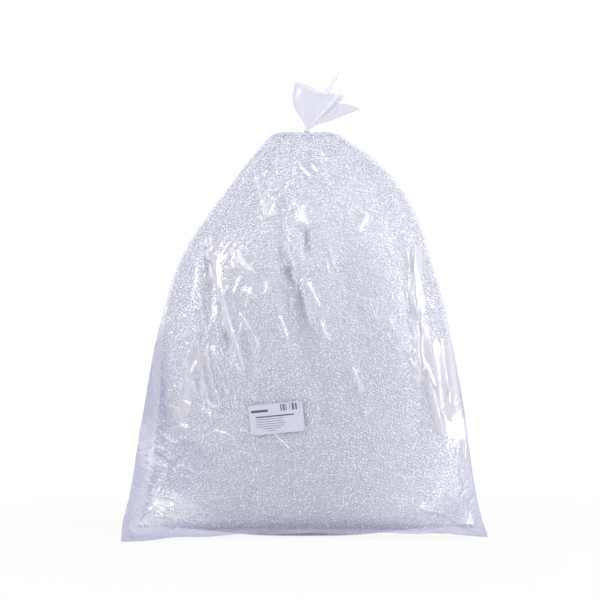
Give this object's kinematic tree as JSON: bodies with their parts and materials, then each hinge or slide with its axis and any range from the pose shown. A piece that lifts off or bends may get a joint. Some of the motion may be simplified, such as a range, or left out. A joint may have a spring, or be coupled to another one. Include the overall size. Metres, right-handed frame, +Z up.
{
  "type": "bag of polystyrene beads",
  "caption": "Clear film bag of loose polystyrene beads, gathered and banded at the neck, with a welded foot and a small plain paper label.",
  "frame": {"origin": "on the floor, under the middle of the bag's bounding box", "axes": "+Z up, -Y towards the front with the label, +X to the right as seen from the front"},
  "size_m": [0.5202, 0.2366, 0.6801],
  "materials": {
    "polyethylene_film": "thin clear film, glossy, faintly lavender where it doubles",
    "polystyrene_beads": "matte white foam beads about 4 mm across",
    "latex_rubber": "matte, pale beige",
    "label_paper": "smooth matte white paper with plain bars"
  },
  "bodies": {
    "root": {"film_bag": "polyethylene_film", "bead_fill": "polystyrene_beads", "neck_band": "latex_rubber", "label": "label_paper"}
  },
  "joints": []
}
